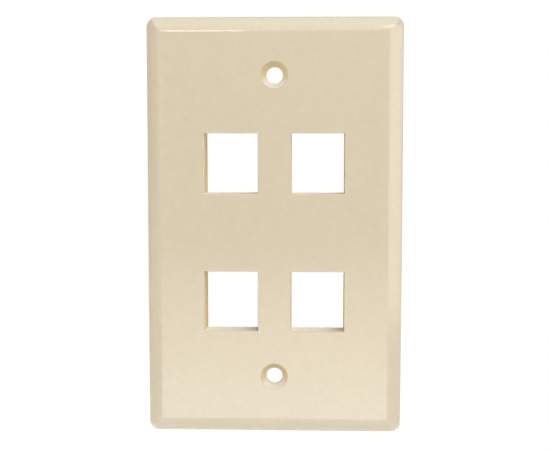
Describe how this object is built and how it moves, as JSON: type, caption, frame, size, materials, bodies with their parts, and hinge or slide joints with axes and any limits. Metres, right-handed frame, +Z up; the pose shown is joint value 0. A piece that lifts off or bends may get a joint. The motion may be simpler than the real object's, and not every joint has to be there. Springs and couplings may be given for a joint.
{
  "type": "keystone wall faceplate",
  "caption": "Single-gang wall faceplate with snap-in keystone ports in a square grid, rolled border and countersunk screw holes.",
  "frame": {"origin": "on the wall plane, midway between the two fixing screws", "axes": "+Z up, -Y out of the face towards the room, +Y into the wall, +X to the right as seen from the room"},
  "size_m": [0.0704, 0.0096, 0.115],
  "materials": {
    "plate": "gloss"
  },
  "bodies": {
    "root": {"faceplate": "plate"}
  },
  "joints": []
}
